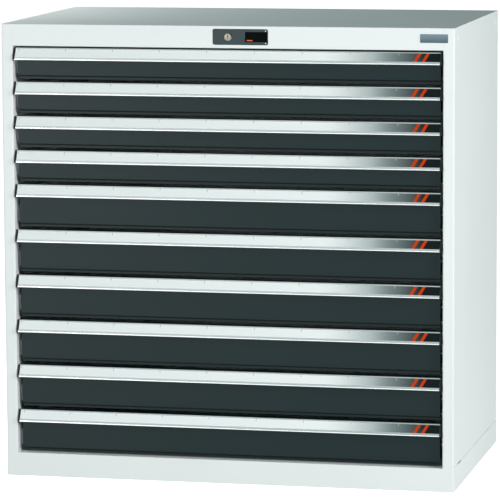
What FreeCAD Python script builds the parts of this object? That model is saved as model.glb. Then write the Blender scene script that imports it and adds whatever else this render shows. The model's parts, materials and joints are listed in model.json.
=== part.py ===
import FreeCAD, Part
import os
import re

import Sketcher
from FreeCAD import Vector

# A workshop drawer cabinet: folded steel housing on a plinth, ten drawers on roller slides,
# aluminium label handles and a central key lock that blocks all the drawers with one bar.
#
# Axes: X to the right and Z up as seen from the front, Y to the back. The origin is the middle
# of the ground that the cabinet covers with its handles. Inside this file each piece is drawn
# with Y counted from the housing's front plane, and a drawer's pieces with Z counted from the
# bottom of the drawer's own slot. The placement of each piece then moves it into the cabinet.
# All lengths are millimetres.

SIZES = {
    # housing
    "cabinet_width": 1000.0,
    "cabinet_depth": 600.0,
    "header_height": 48.0,
    "plinth_height": 52.0,
    "housing_gauge": 1.5,
    "bend_radius": 3.0,
    "stile_width": 25.0,
    "stile_return": 30.0,
    "header_return": 37.5,
    "header_lip": 5.0,
    "top_edge_radius": 1.4,
    "back_flange": 16.0,
    "plinth_overhang": 1.0,
    "plinth_flange": 25.0,
    # holes for joining cabinets side by side, and the slot above the plinth joint
    "link_hole": 10.0,
    "link_inset": 45.0,
    "link_drop": 24.0,
    "notch_inset": 53.0,
    "notch_length": 44.0,
    "notch_height": 3.0,
    # drawer slots, counted from the top
    "low_drawers": 4.0,
    "low_pitch": 75.0,
    "high_drawers": 6.0,
    "high_pitch": 100.0,
    # drawer fronts
    "front_recess": 15.0,
    "front_gauge": 1.5,
    "front_side_gap": 7.5,
    "front_lift": 2.5,
    "front_flange": 13.0,
    "step_height": 8.0,
    "step_depth": 4.5,
    # drawer boxes
    "box_gauge": 1.2,
    "box_headroom": 14.0,
    "box_length": 502.4,
    "box_hem": 6.0,
    # label handles and their end caps
    "handle_side_gap": 2.0,
    "handle_drop": 4.0,
    "handle_height": 25.0,
    "handle_setback": 6.0,
    "handle_reach": 7.0,
    "handle_wall": 2.0,
    "handle_leg": 22.0,
    "seat_depth": 1.2,
    "seat_top_rim": 2.5,
    "seat_bottom_rim": 6.0,
    "lip_height": 5.0,
    "lip_thickness": 4.2,
    "cap_length": 3.8,
    "cap_margin": 0.4,
    # roller slides
    "rail_space": 26.0,
    "rail_gauge": 2.0,
    "rail_height": 34.0,
    "rail_flange": 11.0,
    "rail_centre": 30.0,
    "rail_setback": 1.0,
    "rail_back_gap": 17.0,
    "hook_height": 16.0,
    "hook_length": 11.0,
    "drawer_rail_inset": 6.0,
    "carriage_gauge": 2.0,
    "carriage_height": 24.0,
    "carriage_inset": 20.0,
    "carriage_length": 485.0,
    "roller_clearance": 0.3,
    "roller_side_gap": 0.5,
    "roller_end_inset": 20.0,
    # lock unit in the header
    "bezel_centre": 34.5,
    "bezel_drop": 23.3,
    "bezel_width": 120.5,
    "bezel_height": 32.5,
    "bezel_radius": 3.5,
    "bezel_gap": 1.0,
    "bezel_recess": 0.5,
    "bezel_thickness": 4.0,
    "bezel_flange": 5.0,
    "window_width": 49.0,
    "window_height": 22.0,
    "window_margin": 1.0,
    "window_depth": 0.8,
    "lock_body_width": 30.0,
    "lock_body_height": 28.0,
    "lock_body_depth": 18.0,
    "key_offset": 27.5,
    "plug_diameter": 14.0,
    "plug_proud": 1.5,
    "plug_length": 29.5,
    "plug_clearance": 0.05,
    "keyway_width": 1.8,
    "keyway_height": 8.0,
    "keyway_depth": 8.0,
    # lock mechanism
    "cam_gauge": 3.0,
    "cam_width": 11.0,
    "cam_arm": 14.0,
    "lock_pin": 5.0,
    "cam_slot_play": 0.6,
    "slide_clearance": 0.3,
    "slider_gauge": 2.5,
    "slider_height": 26.0,
    "slider_end": 12.0,
    "slot_play": 0.3,
    "lock_drop": 12.0,
    "lock_pin_inset": 7.0,
    "lock_bar_gauge": 2.5,
    "lock_bar_inset": 15.0,
    "lock_bar_depth": 21.0,
    "lock_bar_gap": 1.5,
    "lock_bar_foot": 16.0,
    "lock_arm_height": 16.0,
    "guide_gauge": 1.5,
    "guide_height": 20.0,
    "guide_distance": 120.0,
    "lug_lift": 50.0,
    "lug_height": 6.0,
    "lug_length": 21.0,
    "lug_inset": 43.5,
    "finger_rise": 4.0,
    "finger_height": 6.0,
    "finger_gap": 2.0,
    "finger_depth": 6.0,
    "finger_overlap": 5.0,
}

# Sizes that follow from the ones above.
DERIVED = {
    "half_width": "cabinet_width / 2",
    "opening_half": "half_width - stile_width",
    "opening_top": "plinth_height + high_drawers * high_pitch + low_drawers * low_pitch",
    "cabinet_height": "opening_top + header_height",
    "panel_top": "cabinet_height - housing_gauge",
    # handle face: run and rise of its slope, and the unit vector down the slope
    "slope_run": "handle_reach + handle_setback",
    "slope_length": "sqrt(slope_run ^ 2 + handle_height ^ 2)",
    "slope_y": "0 - slope_run / slope_length",
    "slope_z": "0 - handle_height / slope_length",
    # how far the end caps stand in front of the housing
    "front_overhang": "handle_reach - cap_margin * slope_z",
    # slides, from the opening's side inwards
    "box_half": "opening_half - rail_space",
    "box_lift": "front_lift + step_height + front_gauge",
    "box_front": "front_recess + front_gauge",
    "box_back": "box_front + box_length",
    "rail_start": "stile_return + rail_setback",
    "rail_end": "cabinet_depth - rail_back_gap",
    "carriage_inner": "opening_half - rail_space / 2 - carriage_gauge / 2",
    "carriage_outer": "carriage_inner + carriage_gauge",
    "carriage_start": "box_front + carriage_inset",
    "carriage_end": "carriage_start + carriage_length",
    "roller_radius": "rail_height / 2 - rail_gauge - roller_clearance",
    # lock unit
    "bezel_height_mid": "cabinet_height - bezel_drop",
    "key_x": "bezel_centre - key_offset",
    "cam_swing": "cam_arm * sqrt(0.5)",
    "slider_back": "header_return - housing_gauge - slide_clearance",
    "slider_front": "slider_back - slider_gauge",
    "slider_bottom": "opening_top + housing_gauge + slide_clearance",
    "cam_front": "plug_length - plug_proud",
    "lock_pin_x": "opening_half - lock_pin_inset",
    "lock_pin_high": "slider_bottom + slider_height / 2 + lock_drop / 2",
    "lock_bar_outer": "half_width - lock_bar_inset",
    "lock_bar_inner": "lock_bar_outer - lock_bar_gauge",
    "lock_bar_front": "header_return + lock_bar_gap",
    "lock_bar_back": "lock_bar_front + lock_bar_depth",
    "lug_front": "box_front + lug_inset",
    "finger_front": "lug_front - finger_gap - finger_depth",
    "finger_bottom": "lug_lift + lug_height + finger_rise",
}

document = FreeCAD.newDocument("drawer_cabinet")
sheet = document.addObject("Spreadsheet::Sheet", "Sizes")
for row, (alias, number) in enumerate(SIZES.items(), start=1):
    sheet.set(f"A{row}", alias.replace("_", " "))
    sheet.set(f"B{row}", str(number))
    sheet.setAlias(f"B{row}", alias)
document.recompute()


def formula(text):
    """Spell a size formula out in the sheet's cells."""
    def spell(word):
        if word.group() in DERIVED:
            return "(" + formula(DERIVED[word.group()]) + ")"
        if word.group() in SIZES:
            return "Sizes." + word.group()
        return word.group()
    return re.sub(r"[a-z][a-z_]*", spell, text)


def value(text):
    """The number that a size formula gives."""
    return float(sheet.evalExpression(formula(text)))


# Outlines: each of these returns a function that draws one closed outline on a sketch.

def pin_point(sketch, geometry, point, x, y):
    """Tie one point of a sketch's geometry to two size formulas."""
    for kind, text in (("DistanceX", x), ("DistanceY", y)):
        index = sketch.addConstraint(
            Sketcher.Constraint(kind, -1, 1, geometry, point, value(text)))
        sketch.setExpression(f"Constraints[{index}]", formula(text))


def polygon(corners):
    def draw(sketch):
        places = [Vector(value(x), value(y), 0) for x, y in corners]
        first = sketch.GeometryCount
        count = len(places)
        for index in range(count):
            sketch.addGeometry(Part.LineSegment(places[index], places[(index + 1) % count]))
        for index, (x, y) in enumerate(corners):
            following = first + (index + 1) % count
            sketch.addConstraint(
                Sketcher.Constraint("Coincident", first + index, 2, following, 1))
            pin_point(sketch, first + index, 1, x, y)
    return draw


def rectangle(left, bottom, right, top):
    return polygon([(left, bottom), (right, bottom), (right, top), (left, top)])


def circle(x, y, diameter):
    def draw(sketch):
        round_line = Part.Circle(Vector(value(x), value(y), 0), Vector(0, 0, 1), value(diameter) / 2)
        index = sketch.addGeometry(round_line)
        pin_point(sketch, index, 3, x, y)
        across = sketch.addConstraint(Sketcher.Constraint("Diameter", index, value(diameter)))
        sketch.setExpression(f"Constraints[{across}]", formula(diameter))
    return draw


def slot(start, end, width):
    """A round-ended slot between two centres."""
    def draw(sketch):
        a = Vector(value(start[0]), value(start[1]), 0)
        b = Vector(value(end[0]), value(end[1]), 0)
        radius = value(width) / 2
        along = (b - a).normalize()
        side = Vector(-along.y, along.x, 0) * radius
        cap_a = Part.Arc(a + side, a - along * radius, a - side)
        cap_b = Part.Arc(b - side, b + along * radius, b + side)
        first = sketch.addGeometry(cap_a)
        lower = sketch.addGeometry(Part.LineSegment(a - side, b - side))
        last = sketch.addGeometry(cap_b)
        upper = sketch.addGeometry(Part.LineSegment(b + side, a + side))
        for arc, arc_end, line, line_end in (
                (first, 2, lower, 1), (last, 1, lower, 2), (last, 2, upper, 1), (first, 1, upper, 2)):
            sketch.addConstraint(Sketcher.Constraint("Tangent", arc, arc_end, line, line_end))
        pin_point(sketch, first, 3, *start)
        pin_point(sketch, last, 3, *end)
        across = sketch.addConstraint(Sketcher.Constraint("Radius", first, radius))
        sketch.setExpression(f"Constraints[{across}]", formula(f"({width}) / 2"))
    return draw


def folded_sheet(path, gauge):
    """Outline of a folded sheet: its outer faces follow the path, and the metal lies to the
    left of the path's direction. The folds are square."""
    places = [(value(x), value(y)) for x, y in path]
    normals = []
    for (x0, y0), (x1, y1) in zip(places, places[1:]):
        length = abs(x1 - x0) + abs(y1 - y0)
        normals.append((-(y1 - y0) / length, (x1 - x0) / length))
    inner = []
    for index, (x, y) in enumerate(path):
        beside = normals[max(index - 1, 0):index + 1]
        shift_x = sum(normal[0] for normal in beside)
        shift_y = sum(normal[1] for normal in beside)
        inner.append((f"{x} + {shift_x:.0f} * {gauge}", f"{y} + {shift_y:.0f} * {gauge}"))
    return polygon(path + inner[::-1])


# Features: a pad or a pocket always runs from start to start + length along the plane's axis.

def origin_feature(body, role):
    return next(feature for feature in body.Origin.OriginFeatures if feature.Role == role)


def new_sketch(body, name, plane, start, outlines):
    made = body.newObject("Sketcher::SketchObject", name + "_sketch")
    made.AttachmentSupport = [(origin_feature(body, plane + "_Plane"), "")]
    made.MapMode = "FlatFace"
    # the sketch on the XZ plane faces the front, so its offset counts the other way
    made.setExpression(".AttachmentOffset.Base.z", formula(f"0 - ({start})" if plane == "XZ" else start))
    for draw in outlines:
        draw(made)
    return made


def pad(body, name, plane, start, length, outlines):
    feature = body.newObject("PartDesign::Pad", name)
    feature.Profile = new_sketch(body, name, plane, start, outlines)
    feature.setExpression("Length", formula(length))
    feature.Reversed = plane == "XZ"
    body.Tip = feature
    return feature


def pocket(body, name, plane, start, length, outlines):
    document.recompute()
    before = body.Shape.Volume
    feature = body.newObject("PartDesign::Pocket", name)
    feature.Profile = new_sketch(body, name, plane, start, outlines)
    feature.setExpression("Length", formula(length))
    feature.Reversed = plane != "XZ"
    body.Tip = feature
    document.recompute()
    if body.Shape.Volume >= before:
        raise ValueError(f"{body.Label}: the pocket {name} cuts nothing")
    return feature


def round_edges(body, name, radius, picked):
    """Fillet the edges that the test picks."""
    document.recompute()
    base = body.Tip
    names = [f"Edge{index}" for index, edge in enumerate(base.Shape.Edges, start=1) if picked(edge)]
    if not names:
        raise ValueError(f"{body.Label}: no edge to round for {name}")
    feature = body.newObject("PartDesign::Fillet", name)
    feature.Base = (base, names)
    feature.setExpression("Radius", formula(radius))
    body.Tip = feature
    return feature


def mirror(body, name, originals):
    """Repeat features on the other side of the cabinet's middle plane."""
    feature = body.newObject("PartDesign::Mirrored", name)
    feature.Originals = originals
    feature.MirrorPlane = (origin_feature(body, "YZ_Plane"), [""])
    body.Tip = feature
    return feature


def repeat_upwards(body, name, original, count, pitch):
    feature = body.newObject("PartDesign::LinearPattern", name)
    feature.Originals = [original]
    feature.Direction = (origin_feature(body, "Z_Axis"), [""])
    feature.Mode = "Spacing"
    feature.setExpression("Offset", formula(pitch))
    feature.setExpression("Occurrences", formula(count))
    body.Tip = feature
    return feature


def along(edge, axis):
    """Whether an edge is a straight line along an axis."""
    if edge.Curve.TypeId != "Part::GeomLine":
        return False
    return abs(abs(edge.Curve.Direction.dot(axis)) - 1) < 1e-6


def near(place, number):
    return abs(place - number) < 1e-4


AXIS_X = Vector(1, 0, 0)
AXIS_Z = Vector(0, 0, 1)
parts = []


def new_solid(label, height):
    """A body drawn from the front plane and moved to its height in the cabinet."""
    body = document.addObject("PartDesign::Body", label)
    body.Label = label
    body.setExpression(".Placement.Base.y", formula("(front_overhang - cabinet_depth) / 2"))
    body.setExpression(".Placement.Base.z", formula(height))
    return body


def new_body(label, height="0"):
    """A piece that is one solid."""
    body = new_solid(label, height)
    parts.append(body)
    return body


def group(label, bodies):
    """A piece made of several separate solids."""
    piece = document.addObject("Part::Compound", label)
    piece.Label = label
    piece.Links = bodies
    parts.append(piece)
    return piece


# Housing

def side_panel(label, hand):
    """One folded sheet: front stile with its return, side wall, rear stile with its return.
    The right panel also carries the two straps that guide the lock bar."""
    body = new_body(label)
    sign = "1" if hand > 0 else "-1"

    def side(text):
        return f"{sign} * ({text})"

    path = [
        (side("opening_half"), "stile_return"),
        (side("opening_half"), "0"),
        (side("half_width"), "0"),
        (side("half_width"), "cabinet_depth"),
        (side("opening_half"), "cabinet_depth"),
        (side("opening_half"), "cabinet_depth - stile_return"),
    ]
    if hand < 0:
        path = path[::-1]
    pad(body, "wall", "XY", "plinth_height", "panel_top - plinth_height",
        [folded_sheet(path, "housing_gauge")])

    corner_x = [value("opening_half"), value("half_width")]
    inner_x = [corner_x[0] + value("housing_gauge"), corner_x[1] - value("housing_gauge")]

    def at_stile(edge, places_x, depth):
        x, y, _ = edge.Vertexes[0].Point
        return along(edge, AXIS_Z) and any(near(abs(x), place) for place in places_x) and near(y, depth)

    round_edges(body, "outer_bends", "bend_radius", lambda edge: at_stile(edge, corner_x, 0))
    round_edges(body, "inner_bends", "bend_radius - housing_gauge",
                lambda edge: at_stile(edge, inner_x, value("housing_gauge")))

    if hand > 0:
        strap = [
            ("half_width - housing_gauge / 2", "lock_bar_back + slide_clearance + guide_gauge"),
            ("lock_bar_inner - slide_clearance - guide_gauge",
             "lock_bar_back + slide_clearance + guide_gauge"),
            ("lock_bar_inner - slide_clearance - guide_gauge",
             "lock_bar_front - slide_clearance - guide_gauge"),
            ("half_width - housing_gauge / 2", "lock_bar_front - slide_clearance - guide_gauge"),
        ]
        for name, start in (
                ("lower_guide", "plinth_height + guide_distance"),
                ("upper_guide", "opening_top - guide_distance - guide_height")):
            pad(body, name, "XY", start, "guide_height", [folded_sheet(strap, "guide_gauge")])

    wall_start = side("half_width") if hand < 0 else "half_width - 2 * housing_gauge"
    pocket(body, "side_holes", "YZ", wall_start, "2 * housing_gauge", [
        circle("link_inset", "cabinet_height - link_drop", "link_hole"),
        circle("cabinet_depth - link_inset", "cabinet_height - link_drop", "link_hole"),
        rectangle("notch_inset", "plinth_height - notch_height",
                  "notch_inset + notch_length", "plinth_height + notch_height"),
    ])
    return body


def back_panel():
    """A shallow tray between the rear stiles, its flanges turned to the front."""
    body = new_body("back_panel")
    pad(body, "tray", "XZ", "cabinet_depth - back_flange", "back_flange",
        [rectangle("0 - opening_half", "plinth_height", "opening_half", "panel_top")])

    def at_rear_edge(edge):
        return near(edge.BoundBox.YMin, value("cabinet_depth")) and near(edge.BoundBox.YLength, 0)

    round_edges(body, "rear_bends", "bend_radius - housing_gauge / 2", at_rear_edge)
    pocket(body, "hollow", "XZ", "cabinet_depth - back_flange", "back_flange - housing_gauge", [
        rectangle("housing_gauge - opening_half", "plinth_height + housing_gauge",
                  "opening_half - housing_gauge", "panel_top - housing_gauge")])
    return body


def top_panel():
    """Cover sheet, header folded down between the stiles, and the header's lower return with
    an upturned lip that keeps the lock slider in place."""
    body = new_body("top_panel")
    pad(body, "cover", "XY", "panel_top", "housing_gauge",
        [rectangle("0 - half_width", "0", "half_width", "cabinet_depth")])
    header = [
        ("0", "panel_top"),
        ("0", "opening_top"),
        ("header_return", "opening_top"),
        ("header_return", "opening_top + header_lip"),
    ]
    pad(body, "header", "YZ", "0 - opening_half", "2 * opening_half",
        [folded_sheet(header, "housing_gauge")])

    def at_front_top(edge):
        box = edge.BoundBox
        return (near(box.YMin, 0) and near(box.YMax, 0) and near(box.ZMin, value("cabinet_height"))
                and along(edge, AXIS_X))

    round_edges(body, "front_edge", "top_edge_radius", at_front_top)

    def at_header_bend(edge):
        box = edge.BoundBox
        return near(box.YMin, 0) and near(box.YMax, 0) and near(box.ZMax, value("opening_top"))

    round_edges(body, "header_bend", "bend_radius - housing_gauge / 2", at_header_bend)
    half = "(bezel_width / 2 + bezel_gap)"
    rise = "(bezel_height / 2 + bezel_gap)"
    pocket(body, "lock_cutout", "XZ", "0 - housing_gauge", "3 * housing_gauge", [
        rectangle(f"bezel_centre - {half}", f"bezel_height_mid - {rise}",
                  f"bezel_centre + {half}", f"bezel_height_mid + {rise}")])

    def at_cutout_corner(edge):
        x, _, z = edge.Vertexes[0].Point
        if edge.Curve.TypeId != "Part::GeomLine" or not near(edge.BoundBox.YLength, value("housing_gauge")):
            return False
        return (near(abs(x - value("bezel_centre")), value(half))
                and near(abs(z - value("bezel_height_mid")), value(rise)))

    round_edges(body, "cutout_corners", "bezel_radius + bezel_gap", at_cutout_corner)
    return body


def base_tray():
    """Floor and plinth in one folded piece that stands on its inward flanges."""
    body = new_body("base_tray")
    half = "(half_width + plinth_overhang)"
    pad(body, "block", "XY", "0", "plinth_height",
        [rectangle(f"0 - {half}", "0", half, "cabinet_depth")])
    round_edges(body, "corners", "bend_radius", lambda edge: along(edge, AXIS_Z))
    pocket(body, "underside", "XY", "0", "plinth_height - housing_gauge", [
        rectangle(f"plinth_flange - {half}", "plinth_flange",
                  f"{half} - plinth_flange", "cabinet_depth - plinth_flange")])
    pocket(body, "hollow", "XY", "housing_gauge", "plinth_height - 2 * housing_gauge", [
        rectangle(f"housing_gauge - {half}", "housing_gauge",
                  f"{half} - housing_gauge", "cabinet_depth - housing_gauge")])
    return body


def c_rail(side_x, direction, start, end):
    """Outline and run of a C-rail whose web stands at side_x and whose flanges point to
    direction, +1 for outwards and -1 for inwards. It is drawn for the right side."""
    tip = f"{side_x} + {direction} * rail_flange"
    low = "rail_centre - rail_height / 2"
    high = "rail_centre + rail_height / 2"
    path = [(tip, low), (side_x, low), (side_x, high), (tip, high)]
    if direction > 0:
        path = path[::-1]
    return start, f"{end} - ({start})", [folded_sheet(path, "rail_gauge")]


def cabinet_rails(slots):
    """Two C-rails for each slot. Their front hooks sit behind the stiles' returns, and their
    webs lie against the returns of the rear stiles."""
    bodies = []
    for number, (height, _) in enumerate(slots, start=1):
        body = new_solid(f"rail_pair_{number:02d}", height)
        start, length, outlines = c_rail("opening_half", -1, "rail_start", "rail_end")
        channel = pad(body, "channel", "XZ", start, length, outlines)
        hook_inner = "opening_half + housing_gauge"
        hook_plan = [
            ("opening_half - rail_gauge / 2", "rail_start"),
            (hook_inner, "rail_start"),
            (hook_inner, "rail_start - hook_length"),
            (f"{hook_inner} + rail_gauge", "rail_start - hook_length"),
            (f"{hook_inner} + rail_gauge", "rail_start + hook_length"),
            ("opening_half - rail_gauge / 2", "rail_start + hook_length"),
        ]
        hook = pad(body, "hook", "XY", "rail_centre - hook_height / 2", "hook_height",
                   [polygon(hook_plan)])
        mirror(body, "left_rail", [channel, hook])
        bodies.append(body)
    return group("cabinet_rails", bodies)


# Central lock

def lock_bezel():
    """Moulding in the header's cut-out: face plate, a flange behind the sheet, the lock's
    housing with its bore, and the seat of the name window."""
    body = new_body("lock_bezel")
    centre = "bezel_centre"
    middle = "bezel_height_mid"

    def plate(half_x, half_z):
        return rectangle(f"{centre} - {half_x}", f"{middle} - {half_z}",
                         f"{centre} + {half_x}", f"{middle} + {half_z}")

    pad(body, "face", "XZ", "bezel_recess", "bezel_thickness",
        [plate("bezel_width / 2", "bezel_height / 2")])

    def across_sheet(edge):
        return edge.Curve.TypeId == "Part::GeomLine" and near(edge.BoundBox.YLength, value("bezel_thickness"))

    round_edges(body, "face_corners", "bezel_radius", across_sheet)
    pad(body, "flange", "XZ", "housing_gauge", "bezel_recess + bezel_thickness - housing_gauge",
        [plate("(bezel_width / 2 + bezel_flange)", "(bezel_height / 2 + bezel_flange)")])
    pad(body, "housing", "XZ", "bezel_recess + bezel_thickness", "lock_body_depth", [
        rectangle("key_x - lock_body_width / 2", f"{middle} - lock_body_height / 2",
                  "key_x + lock_body_width / 2", f"{middle} + lock_body_height / 2")])
    pocket(body, "bore", "XZ", "0 - bezel_recess",
           "2 * bezel_recess + bezel_thickness + lock_body_depth + housing_gauge",
           [circle("key_x", middle, "plug_diameter + 2 * plug_clearance")])
    window_right = "(bezel_centre + bezel_width / 2 - window_margin)"
    pocket(body, "window_seat", "XZ", "0 - bezel_recess", "2 * bezel_recess + window_depth", [
        rectangle(f"{window_right} - window_width", f"{middle} - window_height / 2",
                  window_right, f"{middle} + window_height / 2")])
    return body


def lock_cylinder():
    """Key plug that turns in the bezel's bore, with the cam and its pin at the back."""
    body = new_body("lock_cylinder")
    key_z = "bezel_height_mid"
    pin_x = "(key_x + cam_swing)"
    pin_z = f"({key_z} - cam_swing)"
    pad(body, "plug", "XZ", "bezel_recess - plug_proud", "plug_length",
        [circle("key_x", key_z, "plug_diameter")])
    cam_start = "(bezel_recess + cam_front)"
    pad(body, "cam", "XZ", cam_start, "cam_gauge", [slot(("key_x", key_z), (pin_x, pin_z), "cam_width")])
    pad(body, "pin", "XZ", f"{cam_start} + cam_gauge", f"slider_back - {cam_start} - cam_gauge",
        [circle(pin_x, pin_z, "lock_pin")])
    pocket(body, "keyway", "XZ", "bezel_recess - plug_proud", "keyway_depth", [
        rectangle("key_x - keyway_width / 2", f"{key_z} - keyway_height / 2",
                  "key_x + keyway_width / 2", f"{key_z} + keyway_height / 2")])
    return body


def lock_slider():
    """Flat bar on the header's return. The cam pin moves it sideways, and its sloped slot
    moves the lock bar down and up."""
    body = new_body("lock_slider")
    pin_x = "(key_x + cam_swing)"
    left = f"{pin_x} - slider_end"
    right = "lock_pin_x + 2 * cam_swing + slider_end / 2"
    pad(body, "bar", "XZ", "slider_front", "slider_gauge",
        [rectangle(left, "slider_bottom", right, "slider_bottom + slider_height")])
    pocket(body, "slots", "XZ", "slider_front - slider_gauge", "3 * slider_gauge", [
        slot((pin_x, "bezel_height_mid - cam_arm"), (pin_x, "bezel_height_mid - cam_swing"),
             "lock_pin + 2 * cam_slot_play"),
        slot(("lock_pin_x", "lock_pin_high"),
             ("lock_pin_x + 2 * cam_swing", "lock_pin_high - lock_drop"),
             "lock_pin + 2 * slot_play")])
    return body


def lock_bar(slots):
    """Upright bar behind the right stile: an arm and pin that follow the slider's sloped slot,
    and one finger above each drawer's lug."""
    body = new_body("lock_bar")
    bar_top = "(lock_pin_high + lock_arm_height / 2)"
    pad(body, "upright", "YZ", "lock_bar_inner", "lock_bar_gauge", [
        rectangle("lock_bar_front", "plinth_height + lock_bar_foot", "lock_bar_back", bar_top)])
    pad(body, "arm", "XZ", "lock_bar_front", "lock_bar_gauge", [
        rectangle("lock_pin_x - lock_arm_height / 2", f"{bar_top} - lock_arm_height",
                  "lock_bar_inner + lock_bar_gauge / 2", bar_top)])
    pad(body, "pin", "XZ", "slider_front", "lock_bar_front + lock_bar_gauge / 2 - slider_front",
        [circle("lock_pin_x", "lock_pin_high", "lock_pin")])
    tip = "(box_half + lug_length - finger_overlap)"
    for name, height, count, pitch in (
            ("high", slots[-1][0], "high_drawers", "high_pitch"),
            ("low", slots[int(SIZES["low_drawers"]) - 1][0], "low_drawers", "low_pitch")):
        finger = pad(body, name + "_finger", "XY", f"{height} + finger_bottom", "finger_height", [
            rectangle(tip, "finger_front", "lock_bar_inner + lock_bar_gauge / 2",
                      "finger_front + finger_depth")])
        repeat_upwards(body, name + "_fingers", finger, count, pitch)
    return body


# Drawers

def drawer_box(label, height, pitch):
    """Folded tray with a hem round three sides and the two drawer rails, and the lug that the
    lock bar's finger blocks, riveted to the right wall."""
    body = new_solid(label + "_tray", height)
    wall_top = f"({pitch} - box_headroom)"
    pad(body, "block", "XY", "box_lift", f"{wall_top} - box_lift",
        [rectangle("0 - box_half", "box_front", "box_half", "box_back")])
    pocket(body, "inside", "XY", "box_lift + box_gauge", f"{wall_top} - box_lift", [
        rectangle("box_gauge - box_half", "box_front + box_gauge",
                  "box_half - box_gauge", "box_back - box_gauge")])
    start, length, outlines = c_rail("box_half", 1, "box_front + drawer_rail_inset", "box_back")
    rail = pad(body, "right_rail", "XZ", start, length, outlines)
    mirror(body, "left_rail", [rail])
    hem = [
        ("0 - box_half", "box_front"),
        ("0 - box_half - box_hem", "box_front"),
        ("0 - box_half - box_hem", "box_back + box_hem"),
        ("box_half + box_hem", "box_back + box_hem"),
        ("box_half + box_hem", "box_front"),
        ("box_half", "box_front"),
        ("box_half", "box_back"),
        ("0 - box_half", "box_back"),
    ]
    pad(body, "hem", "XY", f"{wall_top} - box_gauge", "box_gauge", [polygon(hem)])
    lug = new_solid(label + "_lug", height)
    pad(lug, "tongue", "XY", "lug_lift", "lug_height", [
        rectangle("box_half", "lug_front", "box_half + lug_length", "lug_front + lug_height")])
    return group(label, [body, lug])


def drawer_front(label, height, pitch):
    """Folded front: face, stepped lower edge, top and bottom flanges and side flanges."""
    body = new_body(label, height)
    half = "(opening_half - front_side_gap)"
    top = f"({pitch} - handle_drop)"
    back = "(front_recess + front_flange)"
    step_top = "(front_lift + step_height)"
    section = [
        (back, top),
        ("front_recess", top),
        ("front_recess", step_top),
        ("front_recess + step_depth", step_top),
        ("front_recess + step_depth", "front_lift"),
        (back, "front_lift"),
    ]
    pad(body, "face", "YZ", f"0 - {half}", f"2 * {half}", [folded_sheet(section, "front_gauge")])
    inside = [
        ("front_recess + front_gauge", f"{top} - front_gauge"),
        ("front_recess + front_gauge", f"{step_top} + front_gauge"),
        ("front_recess + step_depth + front_gauge", f"{step_top} + front_gauge"),
        ("front_recess + step_depth + front_gauge", "front_lift + front_gauge"),
        (back, "front_lift + front_gauge"),
        (back, f"{top} - front_gauge"),
    ]
    flange = pad(body, "right_flange", "YZ", f"{half} - front_gauge", "front_gauge",
                 [polygon(inside)])
    mirror(body, "left_flange", [flange])
    return body


def slope_point(pitch, down, depth):
    """A point of the handle's section: so far down its sloping face, and so deep behind it."""
    y = f"handle_setback + slope_y * ({down}) - slope_z * ({depth})"
    z = f"{pitch} - handle_drop + slope_z * ({down}) + slope_y * ({depth})"
    return y, z


def drawer_handle(label, height, pitch):
    """Aluminium extrusion: sloping label face with a seat between two rims, thick grip lip,
    top web and the leg that is screwed to the front."""
    body = new_body(label, height)
    top = f"({pitch} - handle_drop)"
    seat_end = "slope_length - seat_bottom_rim"
    skin = "(seat_depth + handle_wall)"
    inner_down = f"(0 - handle_wall - slope_y * {skin}) / slope_z"
    section = [
        ("front_recess", top),
        slope_point(pitch, "0", "0"),
        slope_point(pitch, "seat_top_rim", "0"),
        slope_point(pitch, "seat_top_rim", "seat_depth"),
        slope_point(pitch, seat_end, "seat_depth"),
        slope_point(pitch, seat_end, "0"),
        slope_point(pitch, "slope_length", "0"),
        slope_point(pitch, "slope_length", "lip_thickness"),
        slope_point(pitch, "slope_length - lip_height", "lip_thickness"),
        slope_point(pitch, "slope_length - lip_height", skin),
        slope_point(pitch, inner_down, skin),
        ("front_recess - handle_wall", f"{top} - handle_wall"),
        ("front_recess - handle_wall", f"{top} - handle_leg"),
        ("front_recess", f"{top} - handle_leg"),
    ]
    half = "(opening_half - handle_side_gap - cap_length)"
    pad(body, "profile", "YZ", f"0 - {half}", f"2 * {half}", [polygon(section)])

    lip_y, lip_z = [value(text) for text in slope_point(pitch, "slope_length", "0")]

    def at_lip(edge):
        _, y, z = edge.Vertexes[0].Point
        return along(edge, AXIS_X) and near(y, lip_y) and near(z, lip_z)

    round_edges(body, "lip_round", "lip_thickness / 2", at_lip)
    return body


def drawer_end_caps(label, height, pitch):
    """Two mouldings that close the handle's ends."""
    body = new_body(label, height)
    top = f"({pitch} - handle_drop)"
    margin = "0 - cap_margin"
    section = [
        ("front_recess", f"{top} - handle_leg"),
        ("front_recess", top),
        slope_point(pitch, "0", "0"),
        slope_point(pitch, "seat_top_rim", margin),
        slope_point(pitch, "slope_length", margin),
        slope_point(pitch, "slope_length", "lip_thickness"),
    ]
    cap = pad(body, "right_cap", "YZ", "opening_half - handle_side_gap - cap_length", "cap_length",
              [polygon(section)])
    mirror(body, "left_cap", [cap])
    return body


def drawer_carriages(label, height):
    """Intermediate slides: on each side a plate with one roller in the cabinet's rail near its
    back end and one in the drawer's rail near its front end."""
    body = new_body(label, height)
    plate = pad(body, "plate", "YZ", "carriage_inner", "carriage_gauge", [
        rectangle("carriage_start", "rail_centre - carriage_height / 2",
                  "carriage_end", "rail_centre + carriage_height / 2")])
    outer_width = "opening_half - rail_gauge - roller_side_gap - carriage_outer"
    outer = pad(body, "outer_roller", "YZ", "carriage_outer", outer_width,
                [circle("carriage_end - roller_end_inset", "rail_centre", "2 * roller_radius")])
    inner_start = "box_half + rail_gauge + roller_side_gap"
    inner = pad(body, "inner_roller", "YZ", inner_start, f"carriage_inner - ({inner_start})",
                [circle("carriage_start + roller_end_inset", "rail_centre", "2 * roller_radius")])
    mirror(body, "left_carriage", [plate, outer, inner])
    return body


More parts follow.
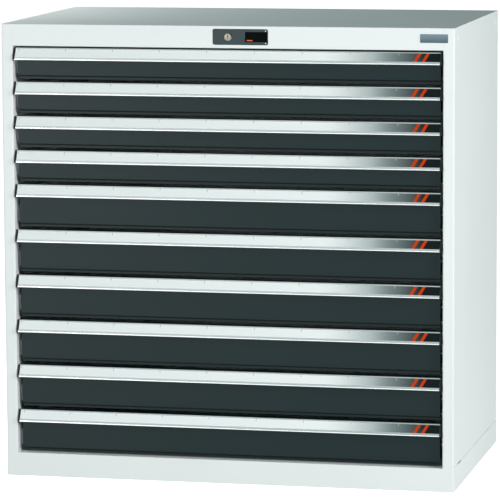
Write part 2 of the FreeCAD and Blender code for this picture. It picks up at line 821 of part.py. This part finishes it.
def drawer_slots():
    """Height of each slot's bottom and its pitch, from the top drawer to the lowest."""
    low = int(SIZES["low_drawers"])
    high = int(SIZES["high_drawers"])
    slots = []
    for number in range(low):
        height = f"plinth_height + high_drawers * high_pitch + (low_drawers - {number + 1}) * low_pitch"
        slots.append((height, "low_pitch"))
    for number in range(high):
        slots.append((f"plinth_height + (high_drawers - {number + 1}) * high_pitch", "high_pitch"))
    return slots


slots = drawer_slots()
side_panel("side_panel_left", -1)
side_panel("side_panel_right", 1)
back_panel()
top_panel()
base_tray()
cabinet_rails(slots)
lock_bezel()
lock_cylinder()
lock_slider()
lock_bar(slots)
for number, (height, pitch) in enumerate(slots, start=1):
    drawer = f"drawer_{number:02d}"
    drawer_box(drawer + "_box", height, pitch)
    drawer_front(drawer + "_front", height, pitch)
    drawer_handle(drawer + "_handle", height, pitch)
    drawer_end_caps(drawer + "_end_caps", height, pitch)
    drawer_carriages(drawer + "_carriages", height)

document.recompute()
for item in document.Objects:
    if "Invalid" in item.State or "Error" in item.State:
        raise ValueError(f"{item.Label}: {item.getStatusString()}")
for part in parts:
    if part.Shape.isNull() or not part.Shape.isValid() or not part.Shape.Solids:
        raise ValueError(f"{part.Label} has no sound shape")

os.makedirs("parts", exist_ok=True)
for part in parts:
    part.Shape.exportStep(f"parts/{part.Label}.step")
    print(f"{part.Label}: {len(part.Shape.Solids)} solids, {part.Shape.Volume / 1000:.1f} cm3")
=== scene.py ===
import json
import math

import bmesh
import bpy
from mathutils import Matrix, Vector

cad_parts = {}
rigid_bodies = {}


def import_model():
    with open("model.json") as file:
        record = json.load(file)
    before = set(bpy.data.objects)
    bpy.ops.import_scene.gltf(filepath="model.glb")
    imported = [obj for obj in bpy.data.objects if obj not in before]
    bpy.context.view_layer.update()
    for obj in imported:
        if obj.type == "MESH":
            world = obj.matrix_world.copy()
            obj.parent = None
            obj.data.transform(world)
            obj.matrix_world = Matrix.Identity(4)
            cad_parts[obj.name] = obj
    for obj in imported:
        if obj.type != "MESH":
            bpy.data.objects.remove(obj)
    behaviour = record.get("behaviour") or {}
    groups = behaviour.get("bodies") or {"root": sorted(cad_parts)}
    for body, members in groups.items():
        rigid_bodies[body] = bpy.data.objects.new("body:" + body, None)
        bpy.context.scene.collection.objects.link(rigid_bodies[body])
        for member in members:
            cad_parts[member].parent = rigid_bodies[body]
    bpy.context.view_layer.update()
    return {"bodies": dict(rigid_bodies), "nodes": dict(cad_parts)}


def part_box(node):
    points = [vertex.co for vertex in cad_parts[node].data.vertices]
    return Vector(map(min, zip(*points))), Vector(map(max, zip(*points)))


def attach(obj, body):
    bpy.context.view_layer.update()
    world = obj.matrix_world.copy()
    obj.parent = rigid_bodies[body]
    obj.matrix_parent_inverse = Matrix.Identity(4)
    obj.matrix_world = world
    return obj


# Dresses the drawer cabinet: a finish for every CAD node, the label strips, the small fittings of
# the drawers, header and side walls, and the studio with the photograph's camera.

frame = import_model()
nodes = frame["nodes"]
drawerNames = sorted(name for name in frame["bodies"] if name.startswith("drawer_"))

# the housing's front, back, right wall and top, read from the model
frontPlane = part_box("side_panel_right")[0].y
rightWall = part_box("side_panel_right")[1].x
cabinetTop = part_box("top_panel")[1].z
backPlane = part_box("side_panel_right")[1].y
print("frame loaded:", len(nodes), "CAD nodes")


# helpers for materials and pieces

def linearColor(hexColor):  # sRGB hex, as a paint chart gives it, to the shader's linear values
    channels = [int(hexColor[i:i + 2], 16) / 255 for i in (1, 3, 5)]
    return [c / 12.92 if c <= 0.04045 else ((c + 0.055) / 1.055) ** 2.4 for c in channels] + [1]


def addNode(material, kind, settings={}, links={}):
    node = material.node_tree.nodes.new(kind)
    for key, setting in settings.items():
        if isinstance(key, str) and hasattr(node, key):
            setattr(node, key, setting)
        else:
            node.inputs[key].default_value = setting
    for socket, source in links.items():
        material.node_tree.links.new(source, node.inputs[socket])
    return node


def newMaterial(name, base, sockets):
    material = bpy.data.materials.new(name)
    material.use_nodes = True
    shader = material.node_tree.nodes["Principled BSDF"]
    shader.inputs["Base Color"].default_value = linearColor(base)
    for socket, setting in sockets.items():
        shader.inputs[socket].default_value = setting
    return material, shader


def link(material, source, socket):
    material.node_tree.links.new(source, socket)


def finishNode(nodeName, material):
    mesh = nodes[nodeName].data
    mesh.materials.clear()
    mesh.materials.append(material)


def placePiece(name, bm, material, body):  # a finished bmesh becomes a piece on its body
    bmesh.ops.recalc_face_normals(bm, faces=bm.faces)
    mesh = bpy.data.meshes.new(name)
    bm.to_mesh(mesh)
    bm.free()
    mesh.materials.append(material)
    piece = bpy.data.objects.new(name, mesh)
    bpy.context.scene.collection.objects.link(piece)
    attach(piece, body)


def islandOf(start):  # every vertex joined to the start
    seen = {start}
    waiting = [start]
    while waiting:
        vert = waiting.pop()
        for edge in vert.link_edges:
            other = edge.other_vert(vert)
            if other not in seen:
                seen.add(other)
                waiting.append(other)
    return list(seen)


def roundedBlock(bm, size, place, bevel=0.0003, segments=2):  # a box with eased edges
    made = bmesh.ops.create_cube(bm, size=1)["verts"]
    bmesh.ops.scale(bm, vec=size, verts=made)
    edges = list({edge for vert in made for edge in vert.link_edges})
    made = bmesh.ops.bevel(bm, geom=edges, offset=bevel, segments=segments, profile=0.5,
                           affect="EDGES", material=-1, clamp_overlap=True)
    verts = list({vert for face in made["faces"] for vert in face.verts})
    island = islandOf(verts[0])
    bmesh.ops.transform(bm, matrix=Matrix.Translation(place), verts=island)
    return island


def turnedPiece(bm, outline, place, turn, steps=32):  # outline: (radius, height) pairs, spun round Z
    verts = [bm.verts.new((radius, 0, height)) for radius, height in outline]
    edges = [bm.edges.new(pair) for pair in zip(verts, verts[1:])]
    bmesh.ops.spin(bm, geom=verts + edges, cent=(0, 0, 0), axis=(0, 0, 1),
                   angle=math.tau, steps=steps, use_merge=True)
    island = islandOf(verts[0])
    bmesh.ops.remove_doubles(bm, verts=island, dist=1e-6)
    island = islandOf(next(vert for vert in island if vert.is_valid))
    bmesh.ops.transform(bm, matrix=Matrix.Translation(place) @ turn, verts=island)


# which way the +Z of a turned piece comes to look
facingFront = Matrix.Rotation(math.radians(90), 4, "X")
facingBack = Matrix.Rotation(math.radians(-90), 4, "X")
facingRight = Matrix.Rotation(math.radians(90), 4, "Y")
facingLeft = Matrix.Rotation(math.radians(-90), 4, "Y")


# materials

coatPattern = {"peelPitch": 0.003, "peelHeight": 0.0002, "driftPitch": 0.3,
               "duller": 0.06, "glossier": 0.04}


def powderCoat(name, base, roughness, gloss, peel, tone):
    # Polyester powder coat, sprayed and baked: satin, with a faint orange peel. The real peel is
    # under 1 mm, and is drawn at about 3 mm so that it shows.
    material, shader = newMaterial(name, base, {"Roughness": roughness, "IOR": 1.5,
                                                "Specular IOR Level": gloss})
    coords = addNode(material, "ShaderNodeTexCoord")
    peelNoise = addNode(material, "ShaderNodeTexNoise",
                        {"Scale": 1 / coatPattern["peelPitch"], "Detail": 2.0},
                        {"Vector": coords.outputs["Object"]})
    bump = addNode(material, "ShaderNodeBump", {"Strength": peel, "Distance": coatPattern["peelHeight"]},
                   {"Height": peelNoise.outputs["Fac"]})
    link(material, bump.outputs["Normal"], shader.inputs["Normal"])
    # slow drift of the coat's tone over about 30 cm, from the spray's passes
    drift = addNode(material, "ShaderNodeTexNoise", {"Scale": 1 / coatPattern["driftPitch"], "Detail": 1.0},
                    {"Vector": coords.outputs["Object"]})
    shade = addNode(material, "ShaderNodeMapRange",
                    {"From Min": 0.3, "From Max": 0.7, "To Min": 1 - tone, "To Max": 1 + tone},
                    {"Value": drift.outputs["Fac"]})
    tint = addNode(material, "ShaderNodeVectorMath", {"operation": "SCALE", 0: linearColor(base)[:3]},
                   {"Scale": shade.outputs["Result"]})
    link(material, tint.outputs["Vector"], shader.inputs["Base Color"])
    dull = addNode(material, "ShaderNodeMapRange",
                   {"To Min": roughness - coatPattern["glossier"],
                    "To Max": roughness + coatPattern["duller"]},
                   {"Value": peelNoise.outputs["Fac"]})
    link(material, dull.outputs["Result"], shader.inputs["Roughness"])
    return material


coats = {
    "housing": {"base": "#E5E7E6", "roughness": 0.42, "gloss": 0.35, "peel": 0.10, "tone": 0.012},
    "fronts": {"base": "#122224", "roughness": 0.40, "gloss": 0.17, "peel": 0.12, "tone": 0.03},
    "boxes": {"base": "#C9CFCD", "roughness": 0.45, "gloss": 0.35, "peel": 0.10, "tone": 0.015},
}
# the housing's is nearly white, the fronts' is a deep green-grey, the boxes' is a middling grey
lightGreyCoat = powderCoat("powderCoatLightGrey", **coats["housing"])
anthraciteCoat = powderCoat("powderCoatAnthracite", **coats["fronts"])
boxCoat = powderCoat("powderCoatBoxGrey", **coats["boxes"])


linePattern = {"height": 0.0001, "duller": 0.12, "glossier": 0.08}


def drawnMetal(name, base, roughness, grain, depth):
    # Metal with lines along X, left by the die or the rolls: grain is (length, width) in metres.
    material, shader = newMaterial(name, base, {"Metallic": 1.0, "Roughness": roughness})
    coords = addNode(material, "ShaderNodeTexCoord")
    stretch = addNode(material, "ShaderNodeMapping",
                      {"Scale": (1 / grain[0], 1 / grain[1], 1 / grain[1])},
                      {"Vector": coords.outputs["Object"]})
    lines = addNode(material, "ShaderNodeTexNoise", {"Scale": 1.0, "Detail": 3.0},
                    {"Vector": stretch.outputs["Vector"]})
    dull = addNode(material, "ShaderNodeMapRange",
                   {"To Min": roughness - linePattern["glossier"],
                    "To Max": roughness + linePattern["duller"]},
                   {"Value": lines.outputs["Fac"]})
    link(material, dull.outputs["Result"], shader.inputs["Roughness"])
    bump = addNode(material, "ShaderNodeBump", {"Strength": depth, "Distance": linePattern["height"]},
                   {"Height": lines.outputs["Fac"]})
    link(material, bump.outputs["Normal"], shader.inputs["Normal"])
    return material


# anodised aluminium: an even, silky grey-white, with the extrusion's fine die lines
anodisedAluminium = drawnMetal("anodisedAluminium", "#E6EAEA", 0.26, (0.15, 0.0012), 0.15)
# zinc-plated steel strip: colder and duller than the aluminium, rolled lengthwise
zincPlatedSteel = drawnMetal("zincPlatedSteel", "#AEB4B8", 0.40, (0.06, 0.002), 0.2)


grainPattern = {"height": 0.0001, "cloudScale": 60.0, "spread": 0.05}


def mouldedPlastic(name, base, roughness, grainSize, depth, gloss=0.5):
    # Injection moulding from a spark-eroded tool: even colour, fine pebble grain.
    material, shader = newMaterial(name, base, {"Roughness": roughness, "IOR": 1.53,
                                                "Specular IOR Level": gloss})
    coords = addNode(material, "ShaderNodeTexCoord")
    grain = addNode(material, "ShaderNodeTexVoronoi", {"Scale": 1 / grainSize},
                    {"Vector": coords.outputs["Object"]})
    bump = addNode(material, "ShaderNodeBump", {"Strength": depth, "Distance": grainPattern["height"]},
                   {"Height": grain.outputs["Distance"]})
    link(material, bump.outputs["Normal"], shader.inputs["Normal"])
    cloud = addNode(material, "ShaderNodeTexNoise", {"Scale": grainPattern["cloudScale"]},
                    {"Vector": coords.outputs["Object"]})
    dull = addNode(material, "ShaderNodeMapRange",
                   {"To Min": roughness - grainPattern["spread"],
                    "To Max": roughness + grainPattern["spread"]},
                   {"Value": cloud.outputs["Fac"]})
    link(material, dull.outputs["Result"], shader.inputs["Roughness"])
    return material


# ABS, moulded: matt black, with no clear reflection
blackAbs = mouldedPlastic("absBlackEndCaps", "#060808", 0.62, 0.0012, 0.2)
# ABS, moulded: dark blue-grey, a little smoother than the end caps
darkAbs = mouldedPlastic("absDarkGreyBezel", "#2A3639", 0.50, 0.0012, 0.15, 0.3)
# painted shade: a dull near-black strip that stands for the shadow line under the step of each front
paintedStepShadowBlack = mouldedPlastic("blackStripPaintedStepShadow", "#080B0C", 0.80, 0.002, 0.2, 0.2)
# polyethylene, moulded: waxy and pale, lighter than the coat round it
paleCapPlastic = mouldedPlastic("polyethyleneLightGreyPlugs", "#E9EEED", 0.40, 0.0015, 0.1)
# acrylic, cast and painted behind: smooth, deep black
windowAcrylic = mouldedPlastic("acrylicBlackWindow", "#020405", 0.20, 0.004, 0.02, 0.04)
# polycarbonate, moulded: a clear, strong orange
amberLens = mouldedPlastic("polycarbonateAmberStrip", "#E2500A", 0.25, 0.002, 0.05)


turningMarks = {"pitch": 0.0008, "duller": 0.10, "glossier": 0.06}


def platedMetal(name, base, roughness):
    # Turned brass or steel under a bright nickel plate: fine turning marks only.
    material, shader = newMaterial(name, base, {"Metallic": 1.0, "Roughness": roughness})
    coords = addNode(material, "ShaderNodeTexCoord")
    marks = addNode(material, "ShaderNodeTexNoise", {"Scale": 1 / turningMarks["pitch"], "Detail": 2.0},
                    {"Vector": coords.outputs["Object"]})
    dull = addNode(material, "ShaderNodeMapRange",
                   {"To Min": roughness - turningMarks["glossier"],
                    "To Max": roughness + turningMarks["duller"]},
                   {"Value": marks.outputs["Fac"]})
    link(material, dull.outputs["Result"], shader.inputs["Roughness"])
    return material


# turned brass under thin nickel: warm, slightly brown silver
platedBrass = platedMetal("nickelPlatedBrassPlug", "#8E8273", 0.30)
# turned steel under nickel: cold silver
nickelRing = platedMetal("nickelPlatedRing", "#82949A", 0.34)
# headed steel under zinc: plain bright grey
rivetSteel = platedMetal("zincRivetHeads", "#C4C9CB", 0.35)


# label strips

labels = {
    "setback": 0.006, "reach": 0.007, "height": 0.025,  # the handle's sloping face, from the front plane
    "upperRim": 0.0026, "lowerRim": 0.0061, "seat": 0.0012,
    "paper": 0.0006, "endGap": 0.0004, "edge": 0.0001,
    "white": "#E7EAE9", "smoke": "#8C9A99", "charcoal": "#12191A", "tick": "#A9B2B2", "amber": "#C23806",
    "fadeStart": 0.665, "fadeMiddle": 0.845, "fadeEnd": 0.898, "fadeLead": 0.06,  # metres from the left end
    "tickPitch": 0.105, "tickWidth": 0.0014, "tickFoot": 0.0145,
    "barPitch": 0.018, "barWidth": 0.007, "barStart": 0.872, "barLean": 0.5, "bars": 2,
    "waveScale": 25.0, "waveStrength": 0.08, "waveHeight": 0.0005,
    # how far to the right each drawer's paper was pushed into its seat
    "shifts": (0.008, 0.003, 0.006, 0.002, 0.007, 0.004, 0.0, 0.005, 0.003, 0.008),
}


def printedPaper():
    # Coated paper under a clear film: white, fading to charcoal at the right, with two slanted
    # amber bars there and a fine tick every 105 mm. The film is the shader's coat.
    material, shader = newMaterial("printedPaperUnderFilm", labels["white"],
                                   {"Roughness": 0.6, "IOR": 1.5, "Coat Weight": 0.03,
                                    "Coat Roughness": 0.3, "Coat IOR": 1.5, "Specular IOR Level": 0.1})
    uv = addNode(material, "ShaderNodeUVMap")
    split = addNode(material, "ShaderNodeSeparateXYZ", {}, {0: uv.outputs["UV"]})
    along = split.outputs["X"]
    across = split.outputs["Y"]

    # the fade: white to smoke, then smoke to charcoal
    early = addNode(material, "ShaderNodeMapRange",
                    {"From Min": labels["fadeStart"], "From Max": labels["fadeMiddle"],
                     "interpolation_type": "SMOOTHSTEP"},
                    {"Value": along})
    late = addNode(material, "ShaderNodeMapRange",
                   {"From Min": labels["fadeMiddle"] - labels["fadeLead"], "From Max": labels["fadeEnd"]},
                   {"Value": along})
    smoke = addNode(material, "ShaderNodeMix",
                    {"data_type": "RGBA", 6: linearColor(labels["white"]), 7: linearColor(labels["smoke"])},
                    {0: early.outputs["Result"]})
    dark = addNode(material, "ShaderNodeMix", {"data_type": "RGBA", 7: linearColor(labels["charcoal"])},
                   {0: late.outputs["Result"], 6: smoke.outputs[2]})

    # ticks along the upper edge, on the white part
    step = addNode(material, "ShaderNodeMath", {"operation": "PINGPONG", 1: labels["tickPitch"] / 2},
                   {0: along})
    nearTick = addNode(material, "ShaderNodeMath", {"operation": "LESS_THAN", 1: labels["tickWidth"] / 2},
                       {0: step.outputs[0]})
    highUp = addNode(material, "ShaderNodeMath", {"operation": "GREATER_THAN", 1: labels["tickFoot"]},
                     {0: across})
    notEnd = addNode(material, "ShaderNodeMath", {"operation": "LESS_THAN", 1: labels["fadeMiddle"]},
                     {0: along})
    pair = addNode(material, "ShaderNodeMath", {"operation": "MULTIPLY"},
                   {0: nearTick.outputs[0], 1: highUp.outputs[0]})
    tick = addNode(material, "ShaderNodeMath", {"operation": "MULTIPLY"},
                   {0: pair.outputs[0], 1: notEnd.outputs[0]})
    ticked = addNode(material, "ShaderNodeMix", {"data_type": "RGBA", 7: linearColor(labels["tick"])},
                     {0: tick.outputs[0], 6: dark.outputs[2]})

    # two slanted bars
    lean = addNode(material, "ShaderNodeMath", {"operation": "MULTIPLY_ADD", 1: -labels["barLean"]},
                   {0: across, 2: along})
    place = addNode(material, "ShaderNodeMath", {"operation": "SUBTRACT", 1: labels["barStart"]},
                    {0: lean.outputs[0]})
    inside = addNode(material, "ShaderNodeMath", {"operation": "MODULO", 1: labels["barPitch"]},
                     {0: place.outputs[0]})
    onBar = addNode(material, "ShaderNodeMath", {"operation": "LESS_THAN", 1: labels["barWidth"]},
                    {0: inside.outputs[0]})
    after = addNode(material, "ShaderNodeMath", {"operation": "GREATER_THAN", 1: 0.0},
                    {0: place.outputs[0]})
    before = addNode(material, "ShaderNodeMath",
                     {"operation": "LESS_THAN", 1: labels["bars"] * labels["barPitch"]},
                     {0: place.outputs[0]})
    both = addNode(material, "ShaderNodeMath", {"operation": "MULTIPLY"},
                   {0: onBar.outputs[0], 1: after.outputs[0]})
    bars = addNode(material, "ShaderNodeMath", {"operation": "MULTIPLY"},
                   {0: both.outputs[0], 1: before.outputs[0]})
    printed = addNode(material, "ShaderNodeMix", {"data_type": "RGBA", 7: linearColor(labels["amber"])},
                      {0: bars.outputs[0], 6: ticked.outputs[2]})
    link(material, printed.outputs[2], shader.inputs["Base Color"])

    # a slight waviness of the film in its seat
    coords = addNode(material, "ShaderNodeTexCoord")
    wave = addNode(material, "ShaderNodeTexNoise", {"Scale": labels["waveScale"]},
                   {"Vector": coords.outputs["Object"]})
    bump = addNode(material, "ShaderNodeBump",
                   {"Strength": labels["waveStrength"], "Distance": labels["waveHeight"]},
                   {"Height": wave.outputs["Fac"]})
    link(material, bump.outputs["Normal"], shader.inputs["Coat Normal"])
    return material


paperLabel = printedPaper()


def addLabel(drawer, shift):
    low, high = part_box(drawer + "_handle")
    length = high.x - low.x - 2 * labels["endGap"]
    run = labels["reach"] + labels["setback"]
    slopeLength = math.hypot(run, labels["height"])
    lean = math.atan2(run, labels["height"])
    width = slopeLength - labels["upperRim"] - labels["lowerRim"]
    down = Vector((0, -math.sin(lean), -math.cos(lean)))
    inward = Vector((0, math.cos(lean), -math.sin(lean)))
    upperEdge = Vector((0, frontPlane + labels["setback"], high.z))
    centre = (upperEdge + down * (labels["upperRim"] + width / 2)
              + inward * (labels["seat"] - labels["paper"] / 2))
    bm = bmesh.new()
    island = roundedBlock(bm, (length, labels["paper"], width), Vector(), bevel=labels["edge"], segments=1)
    uvLayer = bm.loops.layers.uv.new("UVMap")
    for face in bm.faces:
        for loop in face.loops:
            loop[uvLayer].uv = (loop.vert.co.x + length / 2 - shift, loop.vert.co.z + width / 2)
    seat = Matrix.Translation(centre) @ Matrix.Rotation(-lean, 4, "X")
    bmesh.ops.transform(bm, matrix=seat, verts=island)
    placePiece(drawer + "_label", bm, paperLabel, drawer)


for drawerName, shift in zip(drawerNames, labels["shifts"]):
    addLabel(drawerName, shift)
print("label strips placed:", len(drawerNames))


# rivets that hold each handle, seen inside the drawer

rivets = {"outline": [(0.0034, 0), (0.0034, 0.0003), (0.0026, 0.0011), (0.0012, 0.0015), (0, 0.0016)],
          "places": (-0.42, -0.21, 0.0, 0.21, 0.42), "belowTop": 0.0065, "wall": 0.0012}

for drawerName in drawerNames:
    boxLow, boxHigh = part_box(drawerName + "_box")
    inner = boxLow.y + rivets["wall"]  # the inside of the box's front wall
    bm = bmesh.new()
    for x in rivets["places"]:
        place = Vector((x, inner, boxHigh.z - rivets["belowTop"]))
        turnedPiece(bm, rivets["outline"], place, facingBack, steps=16)
    placePiece(drawerName + "_rivets", bm, rivetSteel, drawerName)
print("rivets placed")


# painted shade: a near-black strip under the step of each front, standing for the step's shadow line

stepShadowStrip = {"belowStep": 0.008, "height": 0.003, "depth": 0.003, "recess": 0.0195, "endInset": 0.001}
for drawerName in drawerNames:
    frontLow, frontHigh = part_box(drawerName + "_front")
    bm = bmesh.new()
    place = Vector((0, frontPlane + stepShadowStrip["recess"] - stepShadowStrip["depth"] / 2,
                    frontLow.z + stepShadowStrip["belowStep"] - stepShadowStrip["height"] / 2))
    length = frontHigh.x - frontLow.x - 2 * stepShadowStrip["endInset"]
    roundedBlock(bm, (length, stepShadowStrip["depth"], stepShadowStrip["height"]), place)
    placePiece(drawerName + "_painted_step_shadow", bm, paintedStepShadowBlack, drawerName)
print("painted step shadow strips placed")


# ground and painted weld seams between the header and the stiles

seam = {"inset": 0.025, "width": 0.003, "thick": 0.0003, "proud": 0.00005, "height": 0.0465,
        "foot": 0.048, "edge": 0.00005}  # foot: how far below the cabinet's top it starts
bm = bmesh.new()
for side in (-1, 1):
    place = Vector((side * (rightWall - seam["inset"]), frontPlane - seam["proud"] + seam["thick"] / 2,
                    cabinetTop - seam["foot"] + seam["height"] / 2))
    roundedBlock(bm, (seam["width"], seam["thick"], seam["height"]), place, bevel=seam["edge"])
placePiece("weld_seams", bm, lightGreyCoat, "housing")
print("weld seams placed")


# lock unit

lock = {
    "faceWidth": 0.1205, "faceRecess": 0.0005, "plugRadius": 0.007,
    "ringOutline": [(0.0072, 0), (0.0072, 0.0009), (0.0076, 0.0012), (0.0082, 0.0010), (0.0088, 0.0002),
                    (0.0088, 0), (0.0072, 0)],
    "windowSize": (0.049, 0.022), "windowMargin": 0.001, "windowDepth": 0.0008, "windowPlay": 0.0004,
    "windowEdge": 0.0002,
    "stripSize": (0.013, 0.0004, 0.0022), "stripInset": (0.004, 0.0035), "stripLead": 0.0001,
    "stripEdge": 0.0001,
    "pinOutline": [(0.0014, 0), (0.0014, 0.0002), (0.0008, 0.0005), (0, 0.0006)],
    "pinInset": 0.0045, "pinSpread": 0.0132,
}
bezelLow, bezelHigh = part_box("lock_bezel")
plugLow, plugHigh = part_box("lock_cylinder")
# the face's middle is the middle of the bezel's box, whose flange behind the header is as wide all round
faceMiddle = Vector(((bezelLow.x + bezelHigh.x) / 2, frontPlane + lock["faceRecess"],
                     (bezelLow.z + bezelHigh.z) / 2))
faceRight = faceMiddle.x + lock["faceWidth"] / 2

bm = bmesh.new()
keyAxis = Vector((plugLow.x + lock["plugRadius"], faceMiddle.y, faceMiddle.z))
turnedPiece(bm, lock["ringOutline"], keyAxis, facingFront, steps=64)
placePiece("lock_ring", bm, nickelRing, "housing")

bm = bmesh.new()
windowWide, windowTall = lock["windowSize"]
windowMiddle = Vector((faceRight - lock["windowMargin"] - windowWide / 2,
                       faceMiddle.y + lock["windowDepth"] / 2, faceMiddle.z))
roundedBlock(bm, (windowWide - lock["windowPlay"], lock["windowDepth"], windowTall - lock["windowPlay"]),
             windowMiddle, bevel=lock["windowEdge"])
placePiece("lock_window", bm, windowAcrylic, "housing")

bm = bmesh.new()
stripLeft, stripBottom = lock["stripInset"]
stripOffset = Vector((-windowWide / 2 + stripLeft + lock["stripSize"][0] / 2,
                      -lock["windowDepth"] / 2 - lock["stripLead"],
                      -windowTall / 2 + stripBottom))
roundedBlock(bm, lock["stripSize"], windowMiddle + stripOffset, bevel=lock["stripEdge"])
placePiece("lock_window_strip", bm, amberLens, "housing")

bm = bmesh.new()
for side in (-1, 1):
    place = Vector((faceRight - lock["pinInset"], faceMiddle.y, faceMiddle.z + side * lock["pinSpread"]))
    turnedPiece(bm, lock["pinOutline"], place, facingFront, steps=16)
placePiece("lock_bezel_pins", bm, rivetSteel, "housing")
print("lock unit dressed")


# blank name plate at the header's right end

plate = {"left": 0.4258, "right": 0.4857, "bottom": 0.9686, "top": 0.9872, "thick": 0.0008, "edge": 0.0002,
         "light": "#73878E", "dark": "#43535F",
         "grainScale": 900.0, "grainStrength": 0.05, "grainHeight": 0.0001}


def platePaint():
    # screen-printed aluminium foil plate, satin: pale steel blue above, deeper below
    material, shader = newMaterial("printedFoilPlate", plate["light"],
                                   {"Roughness": 0.35, "Metallic": 0.35})
    coords = addNode(material, "ShaderNodeTexCoord")
    split = addNode(material, "ShaderNodeSeparateXYZ", {}, {0: coords.outputs["Object"]})
    height = addNode(material, "ShaderNodeMapRange",
                     {"From Min": plate["bottom"], "From Max": plate["top"]}, {"Value": split.outputs["Z"]})
    fade = addNode(material, "ShaderNodeMix",
                   {"data_type": "RGBA", 6: linearColor(plate["dark"]), 7: linearColor(plate["light"])},
                   {0: height.outputs["Result"]})
    link(material, fade.outputs[2], shader.inputs["Base Color"])
    grain = addNode(material, "ShaderNodeTexNoise", {"Scale": plate["grainScale"]},
                    {"Vector": coords.outputs["Object"]})
    bump = addNode(material, "ShaderNodeBump",
                   {"Strength": plate["grainStrength"], "Distance": plate["grainHeight"]},
                   {"Height": grain.outputs["Fac"]})
    link(material, bump.outputs["Normal"], shader.inputs["Normal"])
    return material


bm = bmesh.new()
plateMiddle = Vector(((plate["left"] + plate["right"]) / 2, frontPlane - plate["thick"] / 2,
                      (plate["top"] + plate["bottom"]) / 2))
roundedBlock(bm, (plate["right"] - plate["left"], plate["thick"], plate["top"] - plate["bottom"]),
             plateMiddle, bevel=plate["edge"])
placePiece("blank_name_plate", bm, platePaint(), "housing")


# plugs in the side walls' link holes

plugs = {"inset": 0.045, "drop": 0.024,
         "outline": [(0, -0.0035), (0.0048, -0.0035), (0.0048, 0), (0.0068, 0), (0.0068, 0.0006),
                     (0.0060, 0.0013), (0.0035, 0.0017), (0, 0.0018)]}
bm = bmesh.new()
for side, turn in ((1, facingRight), (-1, facingLeft)):
    for y in (frontPlane + plugs["inset"], backPlane - plugs["inset"]):
        place = Vector((side * rightWall, y, cabinetTop - plugs["drop"]))
        turnedPiece(bm, plugs["outline"], place, turn)
placePiece("link_hole_plugs", bm, paleCapPlastic, "housing")
print("plate and plugs placed")


# finishes of the CAD nodes

finishes = {
    "side_panel_left": lightGreyCoat, "side_panel_right": lightGreyCoat, "back_panel": lightGreyCoat,
    "top_panel": lightGreyCoat, "base_tray": lightGreyCoat, "cabinet_rails": zincPlatedSteel,
    "lock_bezel": darkAbs, "lock_cylinder": platedBrass, "lock_slider": zincPlatedSteel,
    "lock_bar": zincPlatedSteel,
}
drawerFinishes = {"box": boxCoat, "front": anthraciteCoat, "handle": anodisedAluminium,
                  "end_caps": blackAbs, "carriages": zincPlatedSteel}
for nodeName, material in finishes.items():
    finishNode(nodeName, material)
for drawerName in drawerNames:
    for part, material in drawerFinishes.items():
        finishNode(f"{drawerName}_{part}", material)


# floor, light and camera

studio = {"reach": 90, "floor": "#FFFFFF", "floorGlow": 0.95, "sky": 0.235, "skyColor": "#B0DCDC"}
bm = bmesh.new()
bmesh.ops.create_grid(bm, x_segments=1, y_segments=1, size=studio["reach"])
floorMesh = bpy.data.meshes.new("studio_floor")
bm.to_mesh(floorMesh)
bm.free()
floor = bpy.data.objects.new("studio_floor", floorMesh)
bpy.context.scene.collection.objects.link(floor)
floorPaint, _ = newMaterial("paperSweep", studio["floor"],
                            {"Roughness": 0.9, "Emission Color": linearColor(studio["floor"]),
                             "Emission Strength": studio["floorGlow"]})
floorMesh.materials.append(floorPaint)
floor.visible_diffuse = False  # the sweep is lit for the camera, and casts no light on the cabinet

world = bpy.data.worlds.new("studioSky")
bpy.context.scene.world = world
world.use_nodes = True
background = world.node_tree.nodes["Background"]
background.inputs["Color"].default_value = linearColor(studio["skyColor"])
background.inputs["Strength"].default_value = studio["sky"]

# name, place, aim, width, height, power, whether it lights matt surfaces, whether it shows in gloss
softboxes = [
    ("frontBox", (1.0, -4.3, 1.2), (0, -0.3, 0), 2.0, 1.2, 63, True, False),
    ("rightBox", (3.8, -1.9, 1.6), (0.5, -0.2, 0.7), 1.3, 1.8, 120, True, False),
    ("leftBox", (-2.5, -4.8, 0.8), (-0.3, -0.3, 0.3), 1.3, 1.3, 84, True, True),
    ("leftTopBox", (-1.25, 0.3, 1.42), (-0.3, 0, 1.0), 0.4, 0.7, 14, True, True),
    ("handleReflector", (-1.7, -3.4, 4.4), (0, -0.3, 0.5), 4.0, 2.6, 18, False, True),
]
for name, place, aim, width, height, power, lightsMatt, showsInGloss in softboxes:
    lamp = bpy.data.lights.new(name, "AREA")
    lamp.shape = "ELLIPSE"
    lamp.size = width
    lamp.size_y = height
    lamp.energy = power
    holder = bpy.data.objects.new(name, lamp)
    bpy.context.scene.collection.objects.link(holder)
    holder.visible_diffuse = lightsMatt
    holder.visible_glossy = showsInGloss
    holder.location = place
    holder.rotation_euler = (Vector(aim) - Vector(place)).to_track_quat("-Z", "Y").to_euler()

view = {"place": (1.6845, frontPlane - 7.1471, 1.5003), "turn": 12.855, "tilt": 90 - 7.644, "roll": -0.306,
        "lens": 246.46, "sensor": 36}
lens = bpy.data.cameras.new("photoCamera")
lens.lens = view["lens"]
lens.sensor_width = view["sensor"]
lens.clip_end = 2 * studio["reach"]
camera = bpy.data.objects.new("photoCamera", lens)
bpy.context.scene.collection.objects.link(camera)
camera.matrix_world = (Matrix.Translation(view["place"])
                       @ Matrix.Rotation(math.radians(view["turn"]), 4, "Z")
                       @ Matrix.Rotation(math.radians(view["tilt"]), 4, "X")
                       @ Matrix.Rotation(math.radians(view["roll"]), 4, "Z"))
bpy.context.scene.camera = camera
bpy.context.scene.view_settings.view_transform = "Standard"
print("studio ready")
